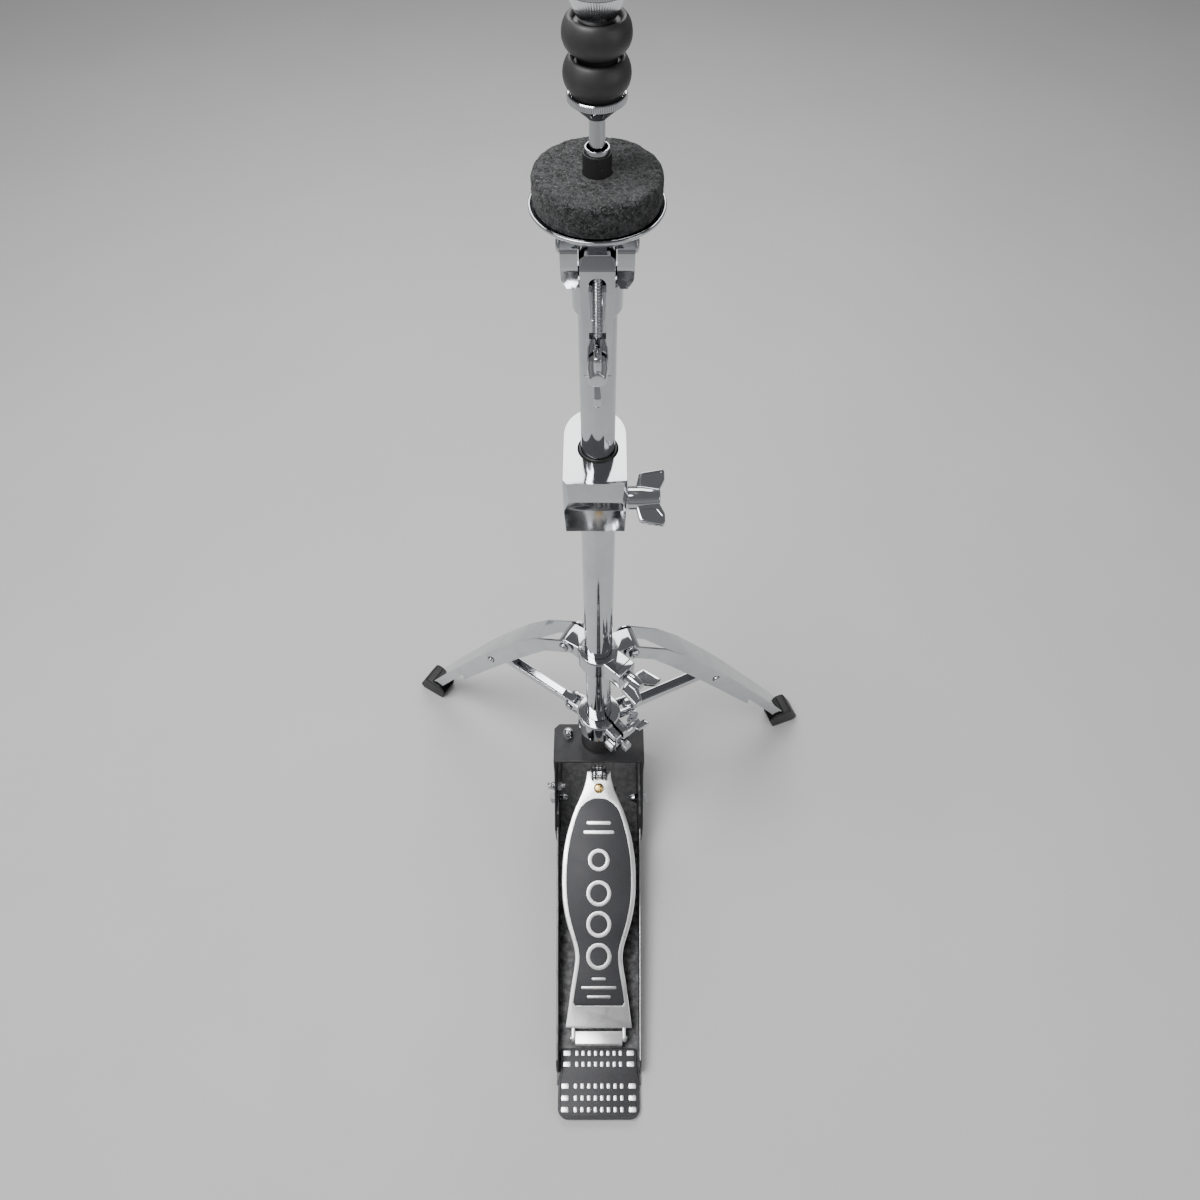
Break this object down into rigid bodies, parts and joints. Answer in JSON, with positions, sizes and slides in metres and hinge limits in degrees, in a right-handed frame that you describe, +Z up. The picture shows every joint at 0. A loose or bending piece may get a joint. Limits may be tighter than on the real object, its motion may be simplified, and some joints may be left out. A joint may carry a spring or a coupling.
{
  "type": "hi-hat stand",
  "caption": "Chrome two-leg hi-hat cymbal stand with pedal, chain drive, folding legs, height clamp, tilting cymbal seat and clutch.",
  "frame": {"origin": "on the floor, under the axis of the tube", "axes": "+Z up along the tube and the pull rod; -Y towards the heel of the pedal; +X to the player's right"},
  "size_m": [0.4856, 0.5093, 1.062],
  "materials": {
    "chrome": "mirror plated",
    "cast_metal": "polished casting",
    "black_paint": "satin black powder coat",
    "steel": "zinc-plated",
    "rubber": "matte",
    "felt": "pressed wool felt",
    "inlay": "dark grey textured paint",
    "brass": "plain",
    "nylon": "moulded"
  },
  "bodies": {
    "stand": {"pad_rear": "rubber", "pad_front": "rubber", "base_plate": "black_paint", "base_bracket": "black_paint", "tube_boss": "black_paint", "side_bolt_L": "steel", "side_bolt_R": "steel", "side_nut_L": "steel", "side_nut_R": "steel", "tee_bolt": "chrome", "tee_bolt_nut": "steel", "heel_plate": "cast_metal", "heel_inlay": "inlay", "hinge_block": "cast_metal", "hinge_pin": "steel", "lower_tube": "chrome", "height_clamp": "chrome", "clamp_bushing": "nylon", "return_spring": "steel"},
    "pedal": {"footboard": "cast_metal", "footboard_inlay": "inlay", "toe_screw": "brass", "toe_clamp": "black_paint"},
    "rod": {"pull_rod": "chrome", "rod_yoke": "steel"},
    "chain_link": {"chain": "steel"},
    "adjuster": {"spring_adjuster": "chrome"},
    "upper": {"upper_tube": "chrome", "tilt_bracket": "chrome", "tilt_pivot_L": "steel", "tilt_pivot_R": "steel"},
    "height_wing": {"height_screw": "chrome"},
    "seat": {"seat_cup": "chrome", "seat_felt": "felt", "seat_sleeve": "rubber"},
    "tilt_wing": {"tilt_screw": "chrome"},
    "clutch": {"clutch_tube": "chrome", "clutch_felt_lower": "felt", "clutch_felt_upper": "felt", "clutch_top_nut": "chrome", "clutch_lock_nut": "chrome", "clutch_body": "chrome"},
    "clutch_nut": {"clutch_bottom_nut": "chrome"},
    "clutch_wing": {"clutch_screw": "chrome"},
    "lower_collar": {"strut_collar": "chrome", "strut_bolt": "steel", "strut_stop_screw": "steel"},
    "lower_collar_nut": {"strut_wing_nut": "chrome"},
    "upper_collar": {"leg_collar": "chrome"},
    "upper_collar_wing": {"leg_screw": "chrome"},
    "left_leg": {"leg_L": "chrome", "foot_L": "rubber", "leg_pivot_L": "steel"},
    "right_leg": {"leg_R": "chrome", "foot_R": "rubber", "leg_pivot_R": "steel"},
    "left_strut": {"strut_L": "chrome"},
    "right_strut": {"strut_R": "chrome"}
  },
  "joints": [
    {"name": "footboard_press", "type": "hinge", "parent": "stand", "child": "pedal", "pos_m": [0, -0.2885, 0.016], "axis": [-1, 0, 0], "range_deg": [0, 4.56], "stiffness_Nm_per_rad": 12, "springref_deg": -17.19},
    {"name": "rod_stroke", "type": "slide", "parent": "stand", "child": "rod", "axis": [0, 0, -1], "range_m": [0, 0.01265], "deforming": ["return_spring"]},
    {"name": "chain_swing", "type": "hinge", "parent": "rod", "child": "chain_link", "pos_m": [0, -0.002, 0.1165], "axis": [1, 0, 0], "range_deg": [0, 14.2]},
    {"name": "spring_adjust", "type": "hinge", "parent": "stand", "child": "adjuster", "pos_m": [-0.034, 0.003, 0.121], "axis": [0, 0, 1], "range_deg": [-720, 720]},
    {"name": "height_slide", "type": "slide", "parent": "stand", "child": "upper", "axis": [0, 0, 1], "range_m": [-0.045, 0.155]},
    {"name": "height_screw_turn", "type": "hinge", "parent": "stand", "child": "height_wing", "pos_m": [0.03, -0.0215, 0.56], "axis": [1, 0, 0], "range_deg": [-720, 90]},
    {"name": "seat_tilt", "type": "hinge", "parent": "upper", "child": "seat", "pos_m": [0, 0, 0.735], "axis": [1, 0, 0], "range_deg": [-1.65, 1.65]},
    {"name": "tilt_screw_turn", "type": "hinge", "parent": "seat", "child": "tilt_wing", "pos_m": [0, -0.025, 0.679], "axis": [0, -1, 0], "range_deg": [-580.5, 580.5]},
    {"name": "clutch_slide", "type": "slide", "parent": "rod", "child": "clutch", "axis": [0, 0, 1], "range_m": [-0.0451, 0.1551]},
    {"name": "clutch_nut_turn", "type": "hinge", "parent": "clutch", "child": "clutch_nut", "pos_m": [0, 0, 0.804], "axis": [0, 0, 1], "range_deg": [-90, 1080]},
    {"name": "clutch_screw_turn", "type": "hinge", "parent": "clutch", "child": "clutch_wing", "pos_m": [0, -0.0176, 0.883], "axis": [0, -1, 0], "range_deg": [-720, 90]},
    {"name": "legs_swivel", "type": "hinge", "parent": "stand", "child": "lower_collar", "pos_m": [0, 0, 0.176], "axis": [0, 0, 1], "range_deg": [-35, 35]},
    {"name": "lower_nut_turn", "type": "hinge", "parent": "lower_collar", "child": "lower_collar_nut", "pos_m": [0.01945, -0.02014, 0.1638], "axis": [0.7193, 0.6947, 0], "range_deg": [-720, 90]},
    {"name": "legs_fold", "type": "slide", "parent": "lower_collar", "child": "upper_collar", "axis": [0, 0, 1], "range_m": [0, 0.10736]},
    {"name": "upper_screw_turn", "type": "hinge", "parent": "upper_collar", "child": "upper_collar_wing", "pos_m": [0.02973, -0.02677, 0.311], "axis": [0.7431, -0.6691, 0], "range_deg": [-720, 90]},
    {"name": "left_leg_fold", "type": "hinge", "parent": "upper_collar", "child": "left_leg", "pos_m": [-0.02558, 0.01568, 0.316], "axis": [-0.5225, -0.8526, 0], "range_deg": [0, 28.1]},
    {"name": "right_leg_fold", "type": "hinge", "parent": "upper_collar", "child": "right_leg", "pos_m": [0.0281, 0.01051, 0.316], "axis": [-0.3502, 0.9367, 0], "range_deg": [0, 28.1]},
    {"name": "left_strut_fold", "type": "hinge", "parent": "lower_collar", "child": "left_strut", "pos_m": [-0.02728, 0.01672, 0.182], "axis": [0.5225, 0.8526, 0], "range_deg": [0, 57.7]},
    {"name": "right_strut_fold", "type": "hinge", "parent": "lower_collar", "child": "right_strut", "pos_m": [0.02997, 0.01121, 0.182], "axis": [0.3502, -0.9367, 0], "range_deg": [0, 57.7]}
  ],
  "couplings": [
    {"joint": "rod_stroke", "follows": "footboard_press", "m_per_rad": 0.15825},
    {"joint": "chain_swing", "follows": "footboard_press", "ratio": 3.1046},
    {"joint": "seat_tilt", "follows": "tilt_screw_turn", "ratio": 0.0028424},
    {"joint": "clutch_slide", "follows": "height_slide", "ratio": 1},
    {"joint": "left_leg_fold", "follows": "legs_fold", "rad_per_m": 4.5519},
    {"joint": "left_strut_fold", "follows": "legs_fold", "rad_per_m": 9.3477},
    {"joint": "right_leg_fold", "follows": "legs_fold", "rad_per_m": 4.5519},
    {"joint": "right_strut_fold", "follows": "legs_fold", "rad_per_m": 9.3477}
  ]
}
